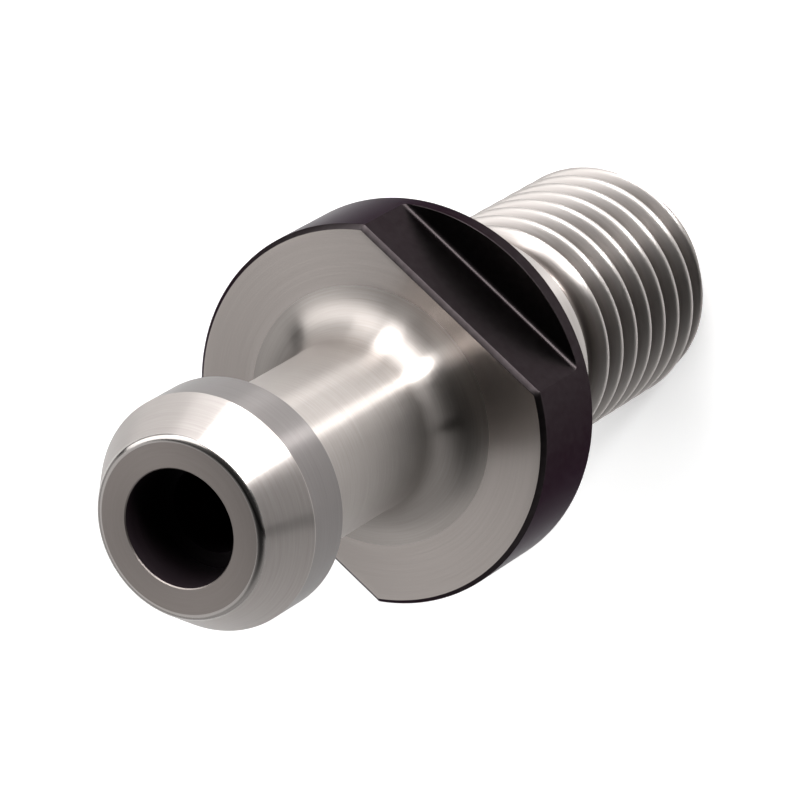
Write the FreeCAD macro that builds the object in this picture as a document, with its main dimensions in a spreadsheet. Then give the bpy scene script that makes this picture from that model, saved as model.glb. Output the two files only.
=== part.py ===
import FreeCAD, Part
import math
import os
import Sketcher

# A retention knob, the stud that pulls a 50-taper tool holder into a machine's spindle.
# It is turned from one bar, milled with two wrench flats and threaded.
# Z is the axis of the bar and points towards the head. X points square out of a wrench flat.
# The origin lies on the seat, the rear face of the flange.
# Lengths are in millimetres, angles in degrees and angles of cones measured from the axis.

DRIVING_SIZES = [
    ("gauge_length", 45.0, "seat to the tip of the head"),
    ("nose_face_dia", 17.5, "where the nose cone would meet the tip face"),
    ("nose_length", 5.0, "nose cone, along the axis"),
    ("nose_edge_radius", 0.8, "rounding between the tip face and the nose cone"),
    ("head_dia", 23.0, "land of the head"),
    ("head_length", 10.0, "tip to the start of the grip cone"),
    ("grip_angle", 45.0, "grip cone, which the machine's gripper pulls on"),
    ("grip_root_radius", 1.0, "between the grip cone and the neck"),
    ("neck_dia", 17.0, "neck"),
    ("neck_root_radius", 4.5, "between the neck and the flange"),
    ("flange_dia", 38.0, "flange"),
    ("flange_thickness", 10.0, "flange"),
    ("flange_front_chamfer", 0.45, "front edge of the flange, along the flats too"),
    ("flange_rear_chamfer", 0.4, "edge of the seat"),
    ("across_flats", 30.0, "wrench size"),
    ("rim_thickness", 2.0, "round rim left between the flats and the seat"),
    ("flat_corner_radius", 0.4, "inner corner of each flat"),
    ("pilot_dia", 25.0, "pilot behind the seat"),
    ("pilot_length", 11.5, "pilot"),
    ("pilot_chamfer", 0.5, "end of the pilot"),
    ("relief_clearance", 0.16, "from the root of the thread down to the floor of the relief"),
    ("relief_width", 2.5, "floor of the relief"),
    ("relief_angle", 45.0, "cone from the relief up to the thread"),
    ("thread_dia", 24.0, "thread, over its crests"),
    ("thread_pitch", 3.0, "thread"),
    ("thread_angle", 60.0, "angle between the flanks of the thread"),
    ("shank_length", 40.0, "seat to the threaded end"),
    ("end_depth", 2.0, "lead cone at the threaded end, from the crests inwards"),
    ("end_angle", 30.0, "lead cone at the threaded end"),
    ("mouth_dia", 11.5, "wide mouth of the coolant hole"),
    ("mouth_depth", 6.0, "wide mouth of the coolant hole"),
    ("mouth_chamfer", 0.2, "edge of the mouth"),
    ("hole_dia", 8.5, "coolant hole"),
    ("hole_chamfer", 0.5, "coolant hole, at the threaded end"),
]

# Sizes that follow from those above. The thread has the metric form: a sharp triangle
# with an eighth of its height off the crest, and a groove 17/24 of its height deep.
FOLLOWING_SIZES = [
    ("grip_length", "(head_dia - neck_dia) / 2 / tan(grip_angle)"),
    ("thread_triangle", "thread_pitch / 2 / tan(thread_angle / 2)"),
    ("thread_depth", "thread_triangle * 17 / 24"),
    ("crest_width", "thread_pitch / 8"),
    ("groove_half_width", "(thread_pitch - crest_width) / 2"),
    ("relief_dia", "thread_dia - 2 * (thread_depth + relief_clearance)"),
    ("relief_lead", "(thread_dia - relief_dia) / 2 / tan(relief_angle)"),
    ("end_lead", "end_depth / tan(end_angle)"),
    ("cutter_overlap", "crest_width / 2"),
    ("cutter_start", "shank_length + groove_half_width"),
    ("cutter_end", "pilot_length + pilot_chamfer + groove_half_width"),
]

TOLERANCE = 1e-4
FULL_TURN = 360.0


def make_sheet(doc):
    """Writes every size to the spreadsheet, one to a row, with its name as the alias."""
    sheet = doc.addObject("Spreadsheet::Sheet", "sizes")
    rows = [(name, str(value), note) for name, value, note in DRIVING_SIZES]
    rows += [(name, "=" + formula, "follows from other sizes") for name, formula in FOLLOWING_SIZES]
    for row, (name, content, note) in enumerate(rows, 1):
        sheet.set("A%d" % row, name)
        sheet.set("B%d" % row, content)
        sheet.set("C%d" % row, note)
        sheet.setAlias("B%d" % row, name)
    doc.recompute()
    return sheet


def value_of(body, formula):
    return float(body.evalExpression(formula))


def make_sketch(body, name, role):
    """Starts a sketch on one of the body's origin planes."""
    sketch = body.newObject("Sketcher::SketchObject", name)
    plane = next(feature for feature in body.Origin.OriginFeatures if feature.Role == role)
    sketch.AttachmentSupport = [(plane, "")]
    sketch.MapMode = "FlatFace"
    return sketch


def draw_outline(body, sketch, corners):
    """Draws a closed outline through corners given as pairs of formulas.

    A corner on an axis of the sketch is pinned to it. A corner in line with the one before
    keeps their line upright or level. Every other coordinate is a dimension.
    """
    first = sketch.GeometryCount
    count = len(corners)
    places = [FreeCAD.Vector(value_of(body, x), value_of(body, y), 0) for x, y in corners]
    for i in range(count):
        sketch.addGeometry(Part.LineSegment(places[i], places[(i + 1) % count]), False)
    for i in range(count):
        after = first + (i + 1) % count
        sketch.addConstraint(Sketcher.Constraint("Coincident", first + i, 2, after, 1))
    for i in range(count):
        for axis, side in enumerate(("X", "Y")):
            formula = corners[i][axis]
            if formula == "0":
                pinned_to = (-2, -1)[axis]
                sketch.addConstraint(Sketcher.Constraint("PointOnObject", first + i, 1, pinned_to))
            elif i > 0 and formula == corners[i - 1][axis]:
                kind = ("Vertical", "Horizontal")[axis]
                sketch.addConstraint(Sketcher.Constraint(kind, first + i - 1))
            else:
                dimension = Sketcher.Constraint("Distance" + side, -1, 1, first + i, 1, places[i][axis])
                index = sketch.addConstraint(dimension)
                sketch.setExpression("Constraints[%d]" % index, formula)


def turn(body, kind, name, sketch):
    """Turns an outline about the Z axis, as a Revolution or as a Groove."""
    feature = body.newObject("PartDesign::" + kind, name)
    feature.Profile = sketch
    feature.ReferenceAxis = (sketch, ["V_Axis"])
    feature.Angle = FULL_TURN
    body.Document.recompute()


def ring_edges(body, height, radius):
    """Names the round edges about the Z axis that have a height and a radius."""
    level = value_of(body, height)
    reach = value_of(body, radius)
    names = []
    for i, edge in enumerate(body.Tip.Shape.Edges, 1):
        curve = edge.Curve
        if not isinstance(curve, Part.Circle):
            continue
        off_axis = math.hypot(curve.Center.x, curve.Center.y)
        misses = (off_axis, abs(curve.Center.z - level), abs(curve.Radius - reach))
        if max(misses) < TOLERANCE:
            names.append("Edge%d" % i)
    return names


def flat_edges(body, height):
    """Names the straight edges of the two wrench flats that have a height."""
    level = value_of(body, height)
    distance = value_of(body, "sizes.across_flats / 2")
    names = []
    for i, edge in enumerate(body.Tip.Shape.Edges, 1):
        if not isinstance(edge.Curve, Part.Line):
            continue
        ends = [vertex.Point for vertex in edge.Vertexes]
        misses = [abs(end.z - level) for end in ends] + [abs(abs(end.x) - distance) for end in ends]
        if max(misses) < TOLERANCE:
            names.append("Edge%d" % i)
    return names


def dress_edges(body, kind, name, edges, size):
    """Rounds or chamfers some edges by a size from the sheet."""
    if not edges:
        raise RuntimeError("no edges found for " + name)
    base = body.Tip
    feature = body.newObject("PartDesign::" + kind, name)
    feature.Base = (base, edges)
    measure = {"Fillet": "Radius", "Chamfer": "Size"}[kind]
    feature.setExpression(measure, "sizes." + size)
    body.Document.recompute()


def turn_outside(body):
    """Turns the outside, from the tip down to the threaded end, with sharp corners."""
    sketch = make_sketch(body, "outside_outline", "XZ_Plane")
    draw_outline(body, sketch, [
        ("0", "sizes.gauge_length"),
        ("sizes.nose_face_dia / 2", "sizes.gauge_length"),
        ("sizes.head_dia / 2", "sizes.gauge_length - sizes.nose_length"),
        ("sizes.head_dia / 2", "sizes.gauge_length - sizes.head_length"),
        ("sizes.neck_dia / 2", "sizes.gauge_length - sizes.head_length - sizes.grip_length"),
        ("sizes.neck_dia / 2", "sizes.flange_thickness"),
        ("sizes.flange_dia / 2", "sizes.flange_thickness"),
        ("sizes.flange_dia / 2", "0"),
        ("sizes.pilot_dia / 2", "0"),
        ("sizes.pilot_dia / 2", "-sizes.pilot_length"),
        ("sizes.relief_dia / 2", "-sizes.pilot_length"),
        ("sizes.relief_dia / 2", "-sizes.pilot_length - sizes.relief_width"),
        ("sizes.thread_dia / 2", "-sizes.pilot_length - sizes.relief_width - sizes.relief_lead"),
        ("sizes.thread_dia / 2", "sizes.end_lead - sizes.shank_length"),
        ("sizes.thread_dia / 2 - sizes.end_depth", "-sizes.shank_length"),
        ("0", "-sizes.shank_length"),
    ])
    turn(body, "Revolution", "outside", sketch)


def dress_turned_corners(body):
    """Gives the turned corners their radii and the pilot its chamfer."""
    edges = ring_edges(body, "sizes.gauge_length", "sizes.nose_face_dia / 2")
    dress_edges(body, "Fillet", "nose_edge", edges, "nose_edge_radius")
    grip_root = "sizes.gauge_length - sizes.head_length - sizes.grip_length"
    edges = ring_edges(body, grip_root, "sizes.neck_dia / 2")
    dress_edges(body, "Fillet", "grip_root", edges, "grip_root_radius")
    edges = ring_edges(body, "sizes.flange_thickness", "sizes.neck_dia / 2")
    dress_edges(body, "Fillet", "neck_root", edges, "neck_root_radius")
    edges = ring_edges(body, "-sizes.pilot_length", "sizes.pilot_dia / 2")
    dress_edges(body, "Chamfer", "pilot_end", edges, "pilot_chamfer")


def mill_flats(body):
    """Mills both wrench flats down from the front of the flange, short of its rear rim."""
    sketch = make_sketch(body, "flats_outline", "XY_Plane")
    sketch.setExpression("AttachmentOffset.Base.z", "sizes.flange_thickness")
    front = "-sizes.flange_dia"
    back = "sizes.flange_dia"
    for side in ("", "-"):
        near = side + "sizes.across_flats / 2"
        far = side + "sizes.flange_dia"
        draw_outline(body, sketch, [(near, front), (far, front), (far, back), (near, back)])
    flats = body.newObject("PartDesign::Pocket", "wrench_flats")
    flats.Profile = sketch
    flats.Type = "Length"
    flats.Reversed = False
    flats.setExpression("Length", "sizes.flange_thickness - sizes.rim_thickness")
    body.Document.recompute()
    edges = flat_edges(body, "sizes.rim_thickness")
    dress_edges(body, "Fillet", "flat_corners", edges, "flat_corner_radius")


def chamfer_flange(body):
    """Chamfers the front edge of the flange, flats included, and the edge of the seat."""
    edges = ring_edges(body, "sizes.flange_thickness", "sizes.flange_dia / 2")
    edges += flat_edges(body, "sizes.flange_thickness")
    dress_edges(body, "Chamfer", "flange_front_edge", edges, "flange_front_chamfer")
    edges = ring_edges(body, "0", "sizes.flange_dia / 2")
    dress_edges(body, "Chamfer", "flange_rear_edge", edges, "flange_rear_chamfer")


def bore_coolant_hole(body):
    """Bores the coolant hole right through, wide where it opens in the tip."""
    sketch = make_sketch(body, "coolant_outline", "XZ_Plane")
    draw_outline(body, sketch, [
        ("0", "sizes.gauge_length"),
        ("sizes.mouth_dia / 2 + sizes.mouth_chamfer", "sizes.gauge_length"),
        ("sizes.mouth_dia / 2", "sizes.gauge_length - sizes.mouth_chamfer"),
        ("sizes.mouth_dia / 2", "sizes.gauge_length - sizes.mouth_depth"),
        ("sizes.hole_dia / 2", "sizes.gauge_length - sizes.mouth_depth"),
        ("sizes.hole_dia / 2", "sizes.hole_chamfer - sizes.shank_length"),
        ("sizes.hole_dia / 2 + sizes.hole_chamfer", "-sizes.shank_length"),
        ("0", "-sizes.shank_length"),
    ])
    turn(body, "Groove", "coolant_hole", sketch)


def cut_thread(body):
    """Cuts the thread as one right-hand helical groove.

    The cutter starts clear of the threaded end and runs out in the relief, clear of the pilot.
    """
    root = "sizes.thread_dia / 2 - sizes.thread_depth"
    brim = "sizes.thread_dia / 2 + sizes.cutter_overlap"
    root_half = "(sizes.groove_half_width - sizes.thread_depth * tan(sizes.thread_angle / 2))"
    brim_half = "(sizes.groove_half_width + sizes.cutter_overlap * tan(sizes.thread_angle / 2))"
    sketch = make_sketch(body, "thread_outline", "XZ_Plane")
    draw_outline(body, sketch, [
        (root, "-sizes.cutter_start - " + root_half),
        (brim, "-sizes.cutter_start - " + brim_half),
        (brim, "-sizes.cutter_start + " + brim_half),
        (root, "-sizes.cutter_start + " + root_half),
    ])
    thread = body.newObject("PartDesign::SubtractiveHelix", "thread_groove")
    thread.Profile = sketch
    thread.ReferenceAxis = (sketch, ["V_Axis"])
    thread.Mode = "pitch-height-angle"
    thread.LeftHanded = False
    thread.Reversed = False
    thread.setExpression("Pitch", "sizes.thread_pitch")
    thread.setExpression("Height", "sizes.cutter_start - sizes.cutter_end")
    body.Document.recompute()


def build_knob(doc):
    """Makes the knob in the order in which it is machined."""
    body = doc.addObject("PartDesign::Body", "retention_knob")
    body.Label = "retention_knob"
    turn_outside(body)
    dress_turned_corners(body)
    mill_flats(body)
    chamfer_flange(body)
    bore_coolant_hole(body)
    cut_thread(body)
    body.Placement = FreeCAD.Placement(FreeCAD.Vector(0, 0, 0), FreeCAD.Rotation())
    doc.recompute()
    return body


def check_knob(doc, body):
    """Stops if a feature failed, if a cut took nothing away or if the solid is not sound."""
    for item in doc.Objects:
        if "Invalid" in item.State or "Error" in item.State:
            raise RuntimeError("%s failed: %s" % (item.Name, item.State))
    for name in ("wrench_flats", "coolant_hole", "thread_groove"):
        feature = doc.getObject(name)
        if feature.Shape.Volume >= feature.BaseFeature.Shape.Volume:
            raise RuntimeError(name + " took nothing away")
    shape = body.Shape
    if shape.isNull() or not shape.isValid() or len(shape.Solids) != 1:
        raise RuntimeError("the knob is not one valid solid")


document = FreeCAD.newDocument("retention_knob")
make_sheet(document)
knob = build_knob(document)
check_knob(document, knob)
os.makedirs("parts", exist_ok=True)
knob.Shape.exportStep("parts/%s.step" % knob.Label)
print("%s: volume %.1f mm3, %d faces" % (knob.Label, knob.Shape.Volume, len(knob.Shape.Faces)))
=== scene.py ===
import math
from typing import NamedTuple
import bmesh
import bpy
from mathutils import Matrix, Vector


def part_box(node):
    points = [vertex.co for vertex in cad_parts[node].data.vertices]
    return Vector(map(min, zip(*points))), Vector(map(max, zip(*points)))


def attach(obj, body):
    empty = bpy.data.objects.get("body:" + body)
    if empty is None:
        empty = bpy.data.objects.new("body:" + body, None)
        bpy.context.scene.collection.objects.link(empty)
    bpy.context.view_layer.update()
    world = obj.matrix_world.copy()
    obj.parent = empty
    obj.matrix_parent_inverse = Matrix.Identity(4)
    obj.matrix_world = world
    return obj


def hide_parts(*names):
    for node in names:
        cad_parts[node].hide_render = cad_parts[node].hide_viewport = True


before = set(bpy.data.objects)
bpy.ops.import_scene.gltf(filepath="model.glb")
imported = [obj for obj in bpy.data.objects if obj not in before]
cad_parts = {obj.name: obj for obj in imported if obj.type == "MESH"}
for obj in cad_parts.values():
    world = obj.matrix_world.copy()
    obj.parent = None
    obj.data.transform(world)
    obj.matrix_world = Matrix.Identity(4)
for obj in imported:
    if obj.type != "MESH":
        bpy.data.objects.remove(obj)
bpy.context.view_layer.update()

# A retention knob standing on its threaded end. Z is its axis and points to the head,
# and X points square out of a wrench flat. Sizes are in millimetres up to the mesh.
MM = 0.001

LOW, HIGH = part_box("retention_knob")
TIP_Z = HIGH[2] / MM
END_Z = LOW[2] / MM
FLANGE_R = HIGH[0] / MM

MOUTH_R = 5.75
MOUTH_DEPTH = 6.0
MOUTH_CHAMFER = 0.1
HOLE_R = 4.25
HOLE_CHAMFER = 0.5
NOSE_FACE_R = 8.75
NOSE_LENGTH = 5.0
NOSE_EDGE_RADIUS = 0.8
HEAD_R = 11.5
HEAD_LENGTH = 10.0
GRIP_LENGTH = 3.0
GRIP_ROOT_RADIUS = 1.0
NECK_R = 8.5
NECK_ROOT_RADIUS = 4.5
FLANGE_THICKNESS = 10.0
FRONT_CHAMFER = 0.45
REAR_CHAMFER = 0.4
FLAT_X = 15.0
RIM_THICKNESS = 2.0
FLAT_CORNER_RADIUS = 0.55
PILOT_R = 12.5
PILOT_LENGTH = 11.5
PILOT_CHAMFER = 0.5
RELIEF_R = 10.0
RELIEF_WIDTH = 2.5
THREAD_R = 12.0
PITCH = 3.0
HALF_ANGLE = math.radians(30)
CREST_WIDTH = PITCH / 8
TRIANGLE = PITCH / 2 / math.tan(HALF_ANGLE)
ROOT_RADIUS = TRIANGLE / 6
CREST_RADIUS = 0.3
THREAD_ROOT_R = THREAD_R - TRIANGLE * 17 / 24

# Along the axis from the middle of the groove: where the rounded root ends, where the
# rounding of the crest starts and ends, and where the sharp edge of the crest would be
CREST_EDGE = (PITCH - CREST_WIDTH) / 2
ROOT_TANGENT = ROOT_RADIUS * math.cos(HALF_ANGLE)
CREST_START = CREST_EDGE + CREST_RADIUS * math.tan((math.pi / 2 - HALF_ANGLE) / 2)
CREST_TANGENT = CREST_START - CREST_RADIUS * math.cos(HALF_ANGLE)
END_DEPTH = 2.0
END_ANGLE = math.radians(30)

# Sharp edges are broken by a small radius, and the edges of the land by a larger one
BREAK = 0.08
LAND_BREAK = 0.2

# How many columns of the mesh run over one flat and over one round side of the flange
FLAT_COLUMNS = 54
ROUND_COLUMNS = 74
COLUMNS = 2 * (FLAT_COLUMNS + ROUND_COLUMNS)

# The mesh: the turn between points of an arc, the rows over the flange's face and round the
# inner corner of a flat, where rows cross the flank of the thread, how near points are
# welded, in metres, and the turn from which an edge is shaded sharp
ARC_STEP = math.radians(13)
FACE_ROWS = 6
CORNER_ROWS = 6
FLANK_PLACES = [0.6, 0.85, 1.05]
WELD_DISTANCE = 2e-7
SHARP_ANGLE = math.radians(29)


def corner_angle(chord, radius):
    """The azimuth at which a chord square to X meets a circle."""
    return math.acos(min(1.0, chord / radius))


def columns(corner):
    """The azimuths of the columns, with one on each corner of the flats."""
    angles = []
    for middle in (0.0, math.pi):
        for i in range(FLAT_COLUMNS):
            angles.append(middle - corner + 2 * corner * i / FLAT_COLUMNS)
        for i in range(ROUND_COLUMNS):
            angles.append(middle + corner + (math.pi - 2 * corner) * i / ROUND_COLUMNS)
    return angles


AZIMUTHS = columns(corner_angle(FLAT_X, FLANGE_R))


def round_corners(corners):
    """Turns corners (across, height, radius) into points, with an arc at each that has a radius."""
    points = []
    for i, (across, height, radius) in enumerate(corners):
        corner = Vector((across, height))
        if radius == 0:
            points.append(corner)
            continue
        before = (Vector(corners[i - 1][:2]) - corner).normalized()
        after = (Vector(corners[i + 1][:2]) - corner).normalized()
        half = before.angle(after) / 2
        centre = corner + (before + after).normalized() * radius / math.sin(half)
        start = corner + before * radius / math.tan(half) - centre
        end = corner + after * radius / math.tan(half) - centre
        sweep = math.atan2(start.x * end.y - start.y * end.x, start.dot(end))
        steps = max(2, math.ceil(abs(sweep) / ARC_STEP))
        for k in range(steps + 1):
            points.append(centre + Matrix.Rotation(sweep * k / steps, 2) @ start)
    return points


def round_row(across, height):
    return [(angle, across, height) for angle in AZIMUTHS]


def flange_row(chord, radius, height):
    """A row round a disc of a radius with both sides cut square at a chord."""
    row = []
    for angle in columns(corner_angle(chord, radius)):
        reach = chord / max(abs(math.cos(angle)), 1e-6)
        row.append((angle, min(radius, reach), height))
    return row


def on_flat(i):
    """How far a column lies inside a flat: 0 on its corners and outside it, and 1 inside."""
    place = i % (FLAT_COLUMNS + ROUND_COLUMNS)
    if place >= FLAT_COLUMNS:
        return 0.0
    return min(1.0, min(place, FLAT_COLUMNS - place) / 2)


def rim_row(drop_in, drop_down):
    """A row along the front edge of the rim, broken where it faces a flat."""
    row = []
    for i, angle in enumerate(AZIMUTHS):
        inside = on_flat(i)
        row.append((angle, FLANGE_R - drop_in * inside, RIM_THICKNESS - drop_down * inside))
    return row


def head_rows():
    """The bore's mouth, the tip face, the head, the neck and the neck's root."""
    tip = TIP_Z
    land_top = tip - NOSE_LENGTH
    land_low = tip - HEAD_LENGTH
    outline = round_corners([
        (MOUTH_R + MOUTH_CHAMFER, tip, 0),
        (NOSE_FACE_R, tip, NOSE_EDGE_RADIUS),
        (HEAD_R, land_top, LAND_BREAK),
        (HEAD_R, land_low, LAND_BREAK),
        (NECK_R, land_low - GRIP_LENGTH, GRIP_ROOT_RADIUS),
        (NECK_R, FLANGE_THICKNESS, NECK_ROOT_RADIUS),
        (FLANGE_R, FLANGE_THICKNESS, 0),
    ])
    rows = [("tip", round_row(MOUTH_R, tip - MOUTH_CHAMFER))]
    cone_start = tip - NOSE_EDGE_RADIUS
    for point in outline[:-1]:
        if point.y > tip - 0.01:
            surface = "tip"
        elif point.y > cone_start:
            surface = "edge"
        elif point.y > land_top - LAND_BREAK:
            surface = "cone"
        elif point.y > land_low - LAND_BREAK:
            surface = "land"
        else:
            surface = "neck"
        rows.append((surface, round_row(point.x, point.y)))
    return rows


def flange_rows():
    """The flange's face, its chamfered edge, its side with the flats, the rim and the seat."""
    rows = []
    face_start = NECK_R + NECK_ROOT_RADIUS
    edge = round_corners([
        (FLANGE_R - 2 * FRONT_CHAMFER, FLANGE_THICKNESS, 0),
        (FLANGE_R - FRONT_CHAMFER, FLANGE_THICKNESS, BREAK / 2),
        (FLANGE_R, FLANGE_THICKNESS - FRONT_CHAMFER, BREAK),
        (FLANGE_R, RIM_THICKNESS, 0),
    ])
    inset = FLANGE_R - edge[1].x
    outer = flange_row(FLAT_X - inset, FLANGE_R - inset, FLANGE_THICKNESS)
    for k in range(1, FACE_ROWS):
        share = k / FACE_ROWS
        row = []
        for start_angle, (end_angle, reach, height) in zip(AZIMUTHS, outer):
            angle = start_angle + (end_angle - start_angle) * share
            row.append((angle, face_start + (reach - face_start) * share, height))
        rows.append(("face", row))
    rows.append(("face", outer))
    for point in edge[2:-1]:
        inset = FLANGE_R - point.x
        rows.append(("oxide", flange_row(FLAT_X - inset, FLANGE_R - inset, point.y)))
    for k in range(CORNER_ROWS + 1):
        turn = math.pi / 2 * k / CORNER_ROWS
        chord = FLAT_X + FLAT_CORNER_RADIUS * (1 - math.cos(turn))
        height = RIM_THICKNESS + FLAT_CORNER_RADIUS * (1 - math.sin(turn))
        rows.append(("oxide", flange_row(chord, FLANGE_R, height)))
    for k in range(4):
        turn = math.pi / 2 * k / 3
        rows.append(("oxide", rim_row(BREAK * (1 - math.sin(turn)), BREAK * (1 - math.cos(turn)))))
    seat = round_corners([
        (FLANGE_R, RIM_THICKNESS, 0),
        (FLANGE_R, REAR_CHAMFER, BREAK),
        (FLANGE_R - REAR_CHAMFER, 0, BREAK / 2),
        (PILOT_R, 0, 0),
    ])
    for point in seat[1:]:
        surface = "oxide" if point.x > FLANGE_R - REAR_CHAMFER - BREAK else "face"
        rows.append((surface, round_row(point.x, point.y)))
    return rows


def pilot_rows():
    """The pilot and the relief, down to where the thread's lead cone starts."""
    outline = round_corners([
        (PILOT_R, 0, 0),
        (PILOT_R, PILOT_CHAMFER - PILOT_LENGTH, BREAK),
        (PILOT_R - PILOT_CHAMFER, -PILOT_LENGTH, 0),
        (RELIEF_R, -PILOT_LENGTH, 0),
        (RELIEF_R, -PILOT_LENGTH - RELIEF_WIDTH, 0),
    ])
    return [("shank", round_row(point.x, point.y)) for point in outline[1:]]


def end_rows():
    """The threaded end's face and the coolant hole, back up to the mouth."""
    outline = [
        (THREAD_R - END_DEPTH, END_Z, "shank"),
        (HOLE_R + HOLE_CHAMFER, END_Z, "shank"),
        (HOLE_R, END_Z + HOLE_CHAMFER, "shank"),
        (HOLE_R, TIP_Z - MOUTH_DEPTH, "bore"),
        (MOUTH_R, TIP_Z - MOUTH_DEPTH, "bore"),
        (MOUTH_R, TIP_Z - MOUTH_CHAMFER, "bore"),
    ]
    return [(surface, round_row(across, height)) for across, height, surface in outline]


def thread_radius(offset):
    """The radius at a distance along the axis from the middle of the groove."""
    offset = abs((offset + PITCH / 2) % PITCH - PITCH / 2)
    if offset < ROOT_TANGENT:
        return THREAD_ROOT_R + ROOT_RADIUS - math.sqrt(ROOT_RADIUS ** 2 - offset ** 2)
    if offset > CREST_TANGENT:
        back = max(0.0, CREST_START - offset)
        return THREAD_R - CREST_RADIUS + math.sqrt(CREST_RADIUS ** 2 - back ** 2)
    return THREAD_R - (CREST_EDGE - offset) / math.tan(HALF_ANGLE)


def envelope_radius(height):
    """The radius of the shank at a height before its thread is cut."""
    lead = RELIEF_R + (-PILOT_LENGTH - RELIEF_WIDTH - height)
    end = THREAD_R - END_DEPTH + (height - END_Z) * math.tan(END_ANGLE)
    return max(RELIEF_R, min(THREAD_R, lead, end))


def groove_middle(angle):
    """The height of a middle of the groove at an azimuth, for a right-hand thread."""
    first = END_Z - CREST_EDGE
    return first + PITCH * angle / (2 * math.pi)


def thread_sections():
    """Where the rows of the thread lie over one pitch, close together on its roundings."""
    half = [ROOT_TANGENT * k / 3 for k in range(4)]
    half += FLANK_PLACES
    half += [CREST_TANGENT + (CREST_START - CREST_TANGENT) * k / 5 for k in range(6)]
    return [-place for place in reversed(half[1:])] + half + [PITCH / 2]


class Builder:
    """Collects the knob's points and faces, with the surface that each face belongs to."""

    def __init__(self):
        self.mesh = bmesh.new()
        self.surfaces = []

    def point(self, angle, across, height):
        place = (across * MM * math.cos(angle), across * MM * math.sin(angle), height * MM)
        return self.mesh.verts.new(place)

    def face(self, corners, surface):
        if surface not in self.surfaces:
            self.surfaces.append(surface)
        made = self.mesh.faces.new(corners)
        made.material_index = self.surfaces.index(surface)
        made.smooth = True

    def lathe(self, rows):
        """Joins each row to the next. A strip takes the surface of the row that it ends on."""
        points = [[self.point(*place) for place in row] for surface, row in rows]
        for k in range(1, len(rows)):
            for i in range(COLUMNS):
                j = (i + 1) % COLUMNS
                corners = (points[k - 1][i], points[k][i], points[k][j], points[k - 1][j])
                self.face(corners, rows[k][0])

    def thread(self):
        """Winds the rows of the thread up its helix, from the end to the relief."""
        sections = thread_sections()
        low = END_Z
        high = -PILOT_LENGTH - RELIEF_WIDTH
        per_pitch = len(sections)
        below = 2
        count = (math.ceil((high - low) / PITCH) + 2 * below) * per_pitch
        points = []
        for q in range(count + per_pitch + 1):
            step = sections[q % per_pitch] + PITCH * (q // per_pitch - below)
            row = []
            for angle in AZIMUTHS:
                middle = groove_middle(angle)
                height = min(high, max(low, middle + step))
                radius = min(envelope_radius(height), thread_radius(height - middle))
                row.append(self.point(angle, radius, height))
            points.append(row)
        for q in range(count):
            for i in range(COLUMNS):
                j = (i + 1) % COLUMNS
                turn = per_pitch if j == 0 else 0
                corners = (points[q][i], points[q + turn][j], points[q + 1 + turn][j], points[q + 1][i])
                self.face(corners, "thread")

    def finish(self, name):
        bmesh.ops.remove_doubles(self.mesh, verts=self.mesh.verts, dist=WELD_DISTANCE)
        bmesh.ops.recalc_face_normals(self.mesh, faces=self.mesh.faces)
        data = bpy.data.meshes.new(name)
        self.mesh.to_mesh(data)
        self.mesh.free()
        return data


def build_knob():
    builder = Builder()
    rows = head_rows() + flange_rows() + pilot_rows()
    builder.lathe(rows)
    builder.thread()
    builder.lathe(end_rows())
    data = builder.finish("knob")
    data.set_sharp_from_angle(angle=SHARP_ANGLE)
    knob = bpy.data.objects.new("knob", data)
    bpy.context.scene.collection.objects.link(knob)
    for surface in builder.surfaces:
        data.materials.append(material(surface))
    weigh = knob.modifiers.new("weighted_normals", "WEIGHTED_NORMAL")
    weigh.keep_sharp = True
    return knob


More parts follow.
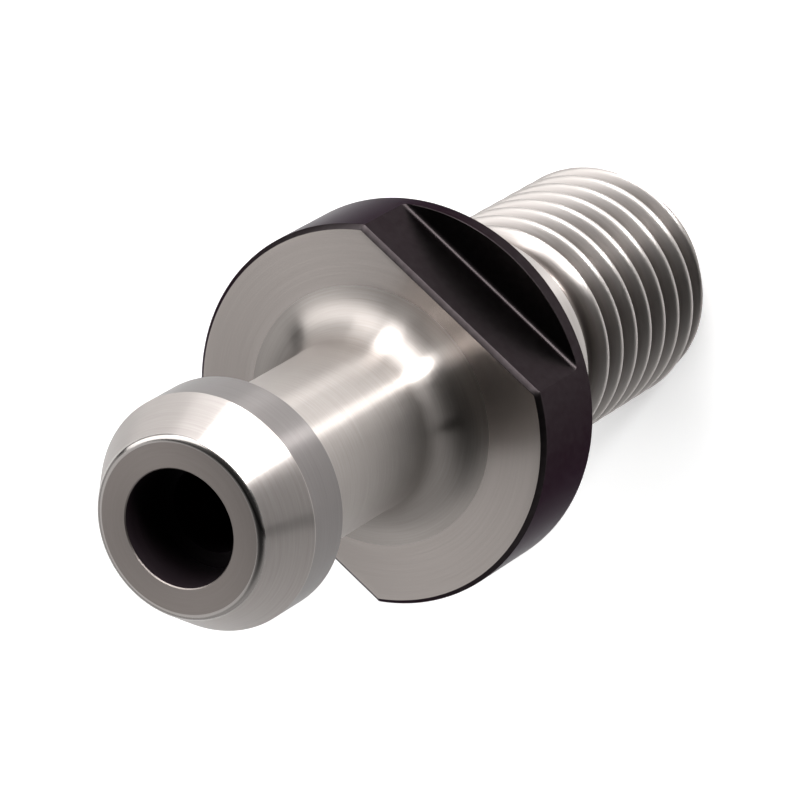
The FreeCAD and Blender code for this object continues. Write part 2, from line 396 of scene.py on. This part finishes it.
class Nodes:
    """A small helper that adds and joins shader nodes."""

    def __init__(self, name):
        self.material = bpy.data.materials.new(name)
        self.material.use_nodes = True
        self.tree = self.material.node_tree
        self.shader = self.tree.nodes["Principled BSDF"]

    def add(self, kind, **settings):
        node = self.tree.nodes.new(kind)
        for key, value in settings.items():
            setattr(node, key, value)
        return node

    def join(self, source, target):
        self.tree.links.new(source, target)

    def maths(self, operation, first, second=None):
        node = self.add("ShaderNodeMath", operation=operation)
        for slot, value in enumerate((first, second)):
            if value is None:
                continue
            if hasattr(value, "is_output"):
                self.join(value, node.inputs[slot])
            else:
                node.inputs[slot].default_value = value
        return node.outputs[0]

    def spread(self, value, low, high):
        """Maps a value between 0 and 1 to a range."""
        node = self.add("ShaderNodeMapRange")
        self.join(value, node.inputs["Value"])
        node.inputs["To Min"].default_value = low
        node.inputs["To Max"].default_value = high
        return node.outputs["Result"]

    def axes(self):
        """The place on the knob as x, y and z."""
        where = self.add("ShaderNodeTexCoord")
        parts = self.add("ShaderNodeSeparateXYZ")
        self.join(where.outputs["Object"], parts.inputs[0])
        return parts.outputs

    def distance(self, x, y):
        """How far a place lies from the knob's axis."""
        squares = self.maths("ADD", self.maths("MULTIPLY", x, x), self.maths("MULTIPLY", y, y))
        return self.maths("SQRT", squares)

    def turned_lines(self, per_mm, waver):
        """Noise drawn out round the axis, as a turning tool or a grinding wheel leaves it."""
        x, y, z = self.axes()
        across = self.distance(x, y)
        place = self.add("ShaderNodeCombineXYZ")
        self.join(self.maths("MULTIPLY", self.maths("DIVIDE", x, across), waver), place.inputs[0])
        self.join(self.maths("MULTIPLY", self.maths("DIVIDE", y, across), waver), place.inputs[1])
        self.join(self.maths("MULTIPLY", across, per_mm / MM), place.inputs[2])
        noise = self.add("ShaderNodeTexNoise", noise_dimensions="4D")
        self.join(place.outputs[0], noise.inputs["Vector"])
        self.join(self.maths("MULTIPLY", z, per_mm / MM), noise.inputs["W"])
        noise.inputs["Scale"].default_value = 1.0
        noise.inputs["Detail"].default_value = 3.0
        noise.inputs["Roughness"].default_value = 0.6
        return noise.outputs[0]

    def grain(self, per_mm, detail):
        """Even noise over the surface."""
        where = self.add("ShaderNodeTexCoord")
        noise = self.add("ShaderNodeTexNoise")
        self.join(where.outputs["Object"], noise.inputs["Vector"])
        noise.inputs["Scale"].default_value = per_mm / MM
        noise.inputs["Detail"].default_value = detail
        return noise.outputs[0]

    def colour(self, factor, dark, light):
        ramp = self.add("ShaderNodeValToRGB")
        self.join(factor, ramp.inputs[0])
        ramp.color_ramp.elements[0].position = 0.3
        ramp.color_ramp.elements[0].color = (*dark, 1)
        ramp.color_ramp.elements[1].position = 0.7
        ramp.color_ramp.elements[1].color = (*light, 1)
        self.join(ramp.outputs[0], self.shader.inputs["Base Color"])

    def bump(self, height, depth_mm):
        node = self.add("ShaderNodeBump")
        node.inputs["Strength"].default_value = 1.0
        node.inputs["Distance"].default_value = depth_mm * MM
        self.join(height, node.inputs["Height"])
        self.join(node.outputs[0], self.shader.inputs["Normal"])
        return node

    def soften(self, bump, radius_mm):
        """Rounds the edges in the shading alone, as wear rounds those of a thread."""
        node = self.add("ShaderNodeBevel", samples=6)
        node.inputs["Radius"].default_value = radius_mm * MM
        self.join(node.outputs[0], bump.inputs["Normal"])

    def round_grain(self, amount):
        """Stretches reflections across the turning marks, which run round the axis."""
        tangent = self.add("ShaderNodeTangent", direction_type="RADIAL", axis="Z")
        self.join(tangent.outputs[0], self.shader.inputs["Tangent"])
        self.shader.inputs["Anisotropic"].default_value = amount
        self.shader.inputs["Anisotropic Rotation"].default_value = 0.25


class Steel(NamedTuple):
    """How a turned or ground surface looks. Its lines run round the axis."""
    name: str
    dark: tuple
    light: tuple
    roughness: tuple
    lines_per_mm: float
    depth_mm: float
    stretch: float


STEELS = {
    "tip": Steel("ground_tip", (0.245, 0.217, 0.203), (0.265, 0.237, 0.223),
        (0.34, 0.42), 5.0, 0.0005, 0.4),
    "edge": Steel("polished_edge", (0.36, 0.335, 0.32), (0.40, 0.375, 0.36),
        (0.15, 0.19), 4.0, 0.0003, 0.3),
    "cone": Steel("ground_cone", (0.345, 0.315, 0.30), (0.40, 0.37, 0.355),
        (0.29, 0.34), 6.0, 0.0002, 0.9),
    # The land's steel is set much darker than the cone's and the neck's: painted shade, standing in for
    # the dark surroundings that the land mirrors.
    "land": Steel("ground_land_painted_shade", (0.16, 0.147, 0.143), (0.185, 0.172, 0.168),
        (0.27, 0.31), 6.0, 0.0002, 0.96),
    "neck": Steel("turned_neck", (0.32, 0.292, 0.274), (0.37, 0.342, 0.324),
        (0.28, 0.33), 6.0, 0.0004, 0.96),
    "face": Steel("turned_face", (0.35, 0.316, 0.297), (0.38, 0.346, 0.327),
        (0.23, 0.27), 6.0, 0.0002, 0.8),
    "shank": Steel("ground_shank", (0.33, 0.305, 0.29), (0.39, 0.365, 0.35),
        (0.28, 0.34), 5.0, 0.0005, 0.85),
}


# How much the turned lines waver on their way round the knob
LINE_WAVER = 1.5


def metal(steel):
    nodes = Nodes(steel.name)
    nodes.shader.inputs["Metallic"].default_value = 1.0
    lines = nodes.turned_lines(steel.lines_per_mm, LINE_WAVER)
    nodes.colour(lines, steel.dark, steel.light)
    nodes.join(nodes.spread(lines, *steel.roughness), nodes.shader.inputs["Roughness"])
    nodes.bump(lines, steel.depth_mm)
    nodes.round_grain(steel.stretch)
    return nodes.material


# The thread is dark at the bottom of its grooves and light on its crests; the dark in the grooves is
# painted shade.
# The shares say how far its colour has gone from the one to the other at each, LINE_SHARE how much the
# turned lines add, and WEAR_MM how far its edges look rounded.
PAINTED_SHADE_THREAD = Steel("thread_steel_painted_shade", (0.13, 0.112, 0.104), (0.37, 0.345, 0.33),
    (0.32, 0.38), 4.0, 0.0003, 0.5)
GROOVE_SHADE_SHARES = (0.15, 0.65)
LINE_SHARE = 0.15
WEAR_MM = 0.45


def thread_steel_painted_shade():
    """Bright on the crests of the thread, with painted shade darkening its grooves."""
    nodes = Nodes(PAINTED_SHADE_THREAD.name)
    nodes.shader.inputs["Metallic"].default_value = 1.0
    lines = nodes.turned_lines(PAINTED_SHADE_THREAD.lines_per_mm, LINE_WAVER)
    x, y, _ = nodes.axes()
    # The colour darkens towards the root radius: painted shade down in the grooves.
    groove_shade = nodes.add("ShaderNodeMapRange", interpolation_type="SMOOTHSTEP")
    nodes.join(nodes.distance(x, y), groove_shade.inputs["Value"])
    groove_shade.inputs["From Min"].default_value = THREAD_ROOT_R * MM
    groove_shade.inputs["From Max"].default_value = THREAD_R * MM
    groove_shade.inputs["To Min"].default_value, groove_shade.inputs["To Max"].default_value = GROOVE_SHADE_SHARES
    height = nodes.maths("ADD", groove_shade.outputs[0], nodes.maths("MULTIPLY", lines, LINE_SHARE))
    nodes.colour(height, PAINTED_SHADE_THREAD.dark, PAINTED_SHADE_THREAD.light)
    nodes.join(nodes.spread(lines, *PAINTED_SHADE_THREAD.roughness), nodes.shader.inputs["Roughness"])
    bump = nodes.bump(lines, PAINTED_SHADE_THREAD.depth_mm)
    nodes.soften(bump, WEAR_MM)
    nodes.round_grain(PAINTED_SHADE_THREAD.stretch)
    return nodes.material


def black_oxide():
    """A thin black skin on steel, which mirrors little except at a glancing angle."""
    nodes = Nodes("black_oxide")
    grain = nodes.grain(per_mm=1.5, detail=4.0)
    nodes.colour(grain, (0.025, 0.0205, 0.0215), (0.031, 0.0265, 0.0275))
    nodes.shader.inputs["Metallic"].default_value = 1.0
    nodes.shader.inputs["Specular Tint"].default_value = (0.42, 0.40, 0.42, 1)
    nodes.join(nodes.spread(grain, 0.27, 0.31), nodes.shader.inputs["Roughness"])
    nodes.bump(nodes.turned_lines(per_mm=4.0, waver=3.0), depth_mm=0.0003)
    return nodes.material


# The coolant hole's walls are near black and mirror little: painted shade inside the hole.
def bore_painted_shade():
    nodes = Nodes("bore_painted_shade")
    lines = nodes.turned_lines(per_mm=3.0, waver=1.0)
    nodes.colour(lines, (0.006, 0.0035, 0.005), (0.013, 0.009, 0.011))
    nodes.join(nodes.spread(lines, 0.35, 0.5), nodes.shader.inputs["Roughness"])
    nodes.shader.inputs["Specular IOR Level"].default_value = 0.2
    nodes.bump(lines, depth_mm=0.003)
    return nodes.material


OTHER_SURFACES = {"oxide": black_oxide, "thread": thread_steel_painted_shade, "bore": bore_painted_shade}


def material(surface):
    if surface in STEELS:
        return metal(STEELS[surface])
    return OTHER_SURFACES[surface]()


# Half the floor's width in metres, its colour, and how much paler than its lit colour it
# shows, so that it ends in white
FLOOR_HALF = 0.8
FLOOR_COLOUR = (0.90, 0.90, 0.90)
FLOOR_GLOW = 0.32


def build_floor():
    """A plain pale floor under the threaded end."""
    signs = [(-1, -1), (1, -1), (1, 1), (-1, 1)]
    corners = [(FLOOR_HALF * x, FLOOR_HALF * y, LOW[2]) for x, y in signs]
    data = bpy.data.meshes.new("floor")
    data.from_pydata(corners, [], [(0, 1, 2, 3)])
    floor = bpy.data.objects.new("floor", data)
    bpy.context.scene.collection.objects.link(floor)
    nodes = Nodes("pale_floor")
    nodes.shader.inputs["Base Color"].default_value = (*FLOOR_COLOUR, 1)
    nodes.shader.inputs["Roughness"].default_value = 0.9
    nodes.shader.inputs["Specular IOR Level"].default_value = 0.1
    ray = nodes.add("ShaderNodeLightPath")
    seen = nodes.maths("MAXIMUM", ray.outputs["Is Camera Ray"], ray.outputs["Is Glossy Ray"])
    seen = nodes.maths("MAXIMUM", seen, ray.outputs["Is Transmission Ray"])
    nodes.shader.inputs["Emission Color"].default_value = (1, 1, 1, 1)
    nodes.join(nodes.maths("MULTIPLY", seen, FLOOR_GLOW), nodes.shader.inputs["Emission Strength"])
    data.materials.append(nodes.material)


# The studio is plain and pale, except for a dark part high up on the camera's side and a
# narrow black card that runs over the knob from floor to floor. STUDIO gives the brightness
# by the cosine of the angle from the middle of the dark part, CARD_EDGES where the card ends
# by the sine of the angle from its middle, and CARD_LEVEL the share of the light left on it.
DARK_AZIMUTH = math.radians(-36)
DARK_ELEVATION = math.radians(64)
CARD_AZIMUTH = math.radians(-64)
CARD_EDGES = (0.06, 0.12)
CARD_LEVEL = 0.05
STUDIO = [(0.20, 0.57), (0.48, 0.46), (0.66, 0.22), (0.80, 0.06), (0.92, 0.03)]


def direction(azimuth, elevation):
    level = math.cos(elevation)
    return Vector((level * math.cos(azimuth), level * math.sin(azimuth), math.sin(elevation)))


def build_world():
    """A soft studio all round, whose light falls off towards the dark part."""
    world = bpy.data.worlds.new("studio")
    bpy.context.scene.world = world
    world.use_nodes = True
    tree = world.node_tree
    where = tree.nodes.new("ShaderNodeTexCoord")
    along = tree.nodes.new("ShaderNodeVectorMath")
    along.operation = "DOT_PRODUCT"
    along.inputs[1].default_value = direction(DARK_AZIMUTH, DARK_ELEVATION)
    ramp = tree.nodes.new("ShaderNodeValToRGB")
    stops = ramp.color_ramp.elements
    while len(stops) < len(STUDIO):
        stops.new(0.5)
    for stop, (place, level) in zip(stops, STUDIO):
        stop.position = place
        stop.color = (level, level, level, 1)
    tree.links.new(where.outputs["Generated"], along.inputs[0])
    tree.links.new(along.outputs["Value"], ramp.inputs[0])
    tree.links.new(ramp.outputs[0], tree.nodes["Background"].inputs["Color"])
    aside = tree.nodes.new("ShaderNodeVectorMath")
    aside.operation = "DOT_PRODUCT"
    aside.inputs[1].default_value = direction(CARD_AZIMUTH + math.pi / 2, 0)
    distance = tree.nodes.new("ShaderNodeMath")
    distance.operation = "ABSOLUTE"
    card = tree.nodes.new("ShaderNodeMapRange")
    card.inputs["From Min"].default_value, card.inputs["From Max"].default_value = CARD_EDGES
    card.inputs["To Min"].default_value = CARD_LEVEL
    tree.links.new(where.outputs["Generated"], aside.inputs[0])
    tree.links.new(aside.outputs["Value"], distance.inputs[0])
    tree.links.new(distance.outputs[0], card.inputs["Value"])
    tree.links.new(card.outputs["Result"], tree.nodes["Background"].inputs["Strength"])


class Softbox(NamedTuple):
    """An area light aimed at the knob, with its azimuth counted from X towards Y in degrees."""
    name: str
    azimuth: float
    elevation: float
    distance: float
    width: float
    height: float
    power: float


# A high box to one side, two low ones beside it with two strips, and one behind the knob
SOFTBOXES = [
    Softbox("side_box", 82, 33, 0.55, 0.62, 0.38, 2.0),
    Softbox("wide_box", 26, 16, 0.62, 1.20, 0.34, 1.8),
    Softbox("low_box", 20, 15, 0.57, 0.36, 0.34, 1.9),
    Softbox("strip", -5, 10, 0.53, 0.08, 0.22, 3.0),
    Softbox("second_strip", 36, 12, 0.53, 0.14, 0.22, 1.3),
    Softbox("top", 161, 46, 0.8, 0.9, 0.5, 0.65),
]


def build_lights():
    for box in SOFTBOXES:
        light = bpy.data.lights.new(box.name, "AREA")
        light.shape = "RECTANGLE"
        light.size = box.width
        light.size_y = box.height
        light.energy = box.power
        lamp = bpy.data.objects.new(box.name, light)
        bpy.context.scene.collection.objects.link(lamp)
        towards = direction(math.radians(box.azimuth), math.radians(box.elevation))
        lamp.location = towards * box.distance
        lamp.rotation_euler = towards.to_track_quat("Z", "Y").to_euler()


# The camera looks steeply down on the knob from a long way off, and is rolled so that
# the head points down to the left of the picture.
CAMERA_AZIMUTH = math.radians(-18.70)
CAMERA_ELEVATION = math.radians(55.09)
CAMERA_DISTANCE = 0.62533
CAMERA_ROLL = math.radians(-120.60)
CAMERA_AIM = Vector((-0.00005, -0.00015, 0.00425))
CAMERA_LENS = 292.5


def build_camera():
    data = bpy.data.cameras.new("camera")
    data.sensor_width = 36
    data.lens = CAMERA_LENS
    data.clip_start = 0.01
    camera = bpy.data.objects.new("camera", data)
    bpy.context.scene.collection.objects.link(camera)
    back = direction(CAMERA_AZIMUTH, CAMERA_ELEVATION)
    upright = back.to_track_quat("Z", "Y").to_matrix().to_4x4()
    roll = Matrix.Rotation(CAMERA_ROLL, 4, "Z")
    camera.matrix_world = Matrix.Translation(CAMERA_AIM + back * CAMERA_DISTANCE) @ upright @ roll
    bpy.context.scene.camera = camera


knob = build_knob()
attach(knob, "root")
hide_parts("retention_knob")
build_floor()
build_world()
build_lights()
build_camera()
bpy.context.scene.view_settings.view_transform = "Standard"
